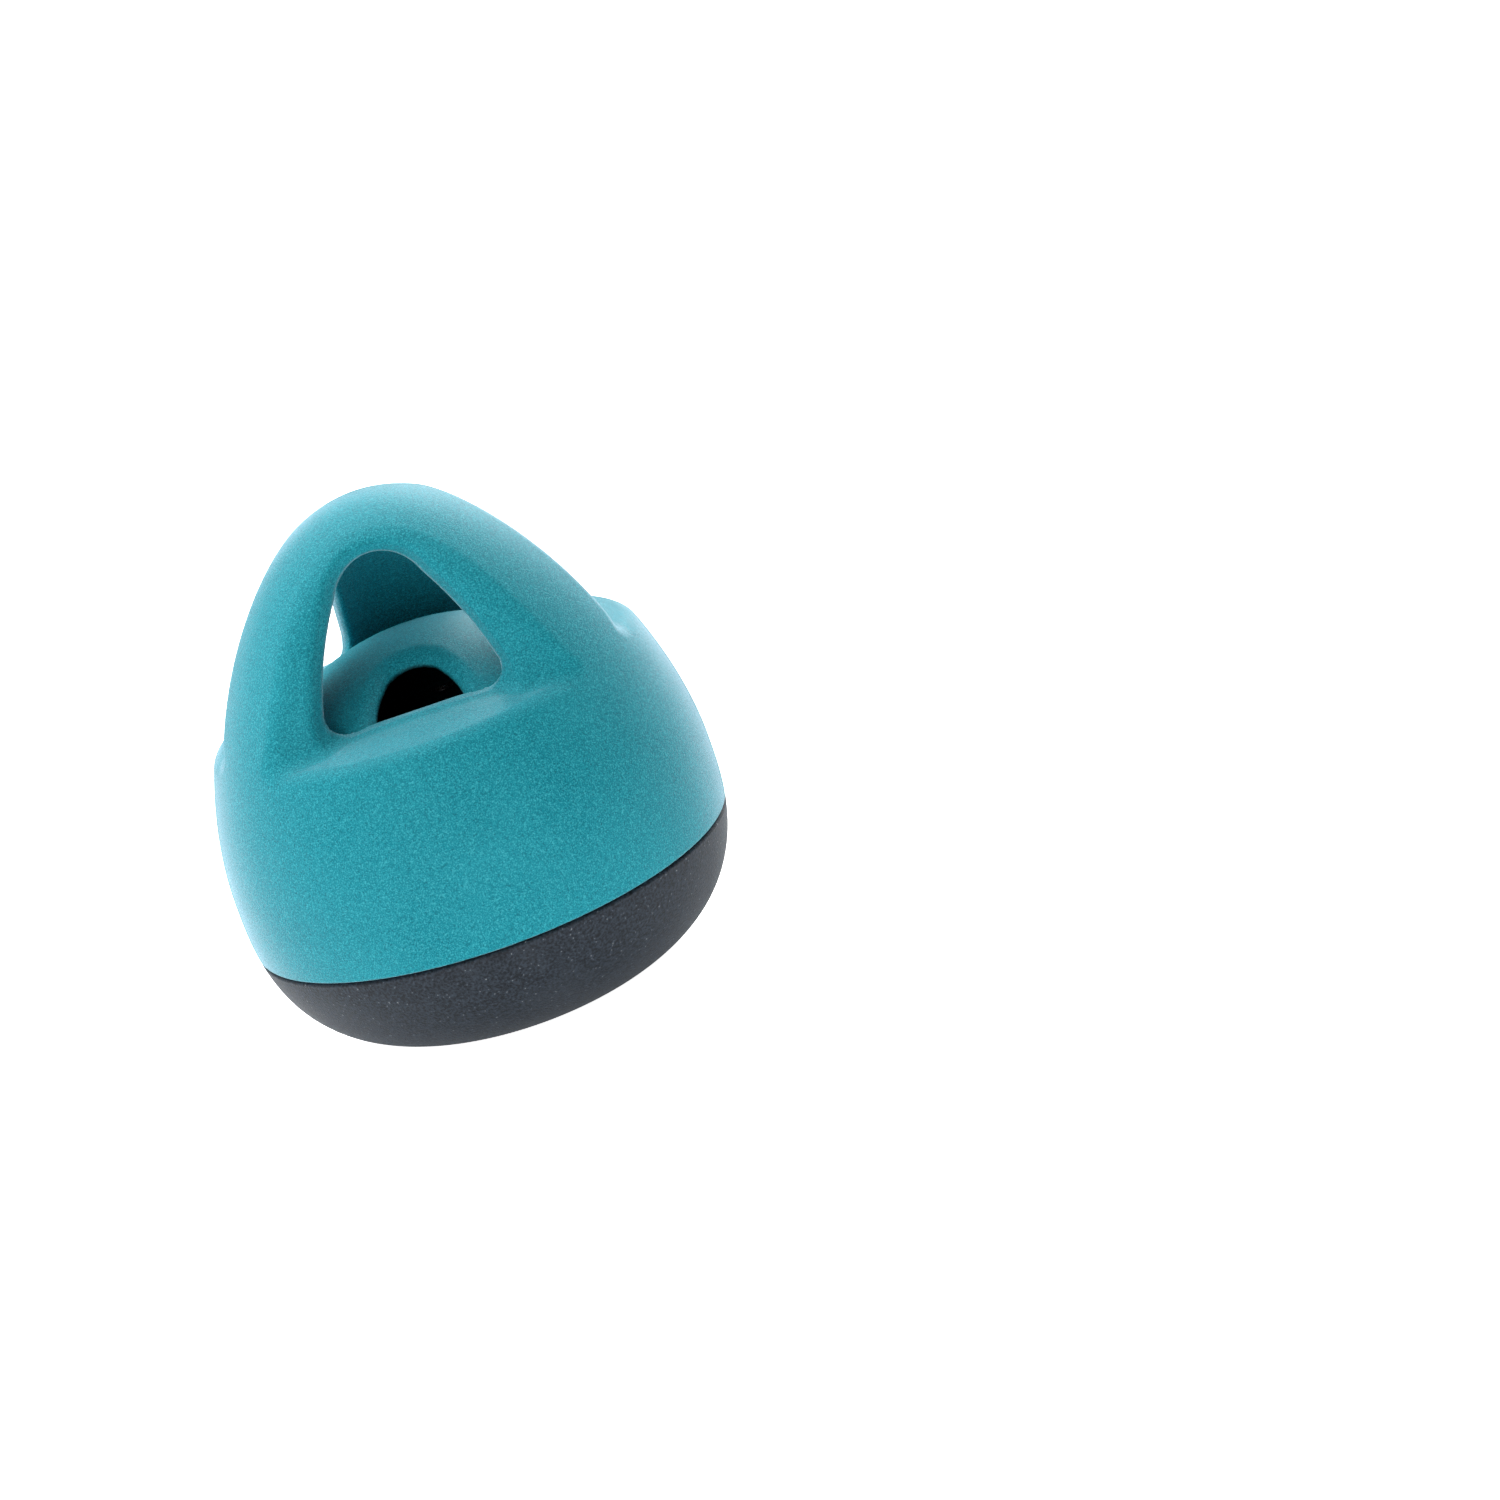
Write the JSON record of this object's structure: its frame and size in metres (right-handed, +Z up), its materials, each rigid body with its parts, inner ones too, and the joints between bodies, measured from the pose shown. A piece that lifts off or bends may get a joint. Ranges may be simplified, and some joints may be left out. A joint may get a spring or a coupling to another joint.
{
  "type": "weighted treat toy",
  "caption": "Egg-shaped weighted treat toy with a three-legged handle over a pierced dome and a rubber-covered base that twists off.",
  "frame": {"origin": "centre of the foot that the toy stands on", "axes": "+Z up along the axis of the body; one handle window faces -Y"},
  "size_m": [0.12, 0.12, 0.1305],
  "materials": {
    "shell_plastic": "teal moulded plastic with a fine spark-eroded grain",
    "dome_plastic": "the shell's teal plastic and grain",
    "screw_steel": "zinc-plated self-tapping screw",
    "cup_plastic": "dark grey moulded plastic",
    "base_rubber": "dark blue-grey rubber with a fine leathery texture",
    "weight_iron": "plain cast iron",
    "seal_rubber": "black rubber ring"
  },
  "bodies": {
    "base": {"base_skin": "base_rubber", "base_cup": "cup_plastic", "weight": "weight_iron", "weight_cover": "cup_plastic", "weight_screws": "screw_steel", "seal_ring": "seal_rubber"},
    "top": {"upper_shell": "shell_plastic", "treat_dome": "dome_plastic", "dome_screws": "screw_steel"}
  },
  "joints": [
    {"name": "base_twist", "type": "hinge", "parent": "base", "child": "top", "pos_m": [0, 0, 0.0315], "axis": [0, 0, 1], "range_deg": [0, 45]}
  ]
}
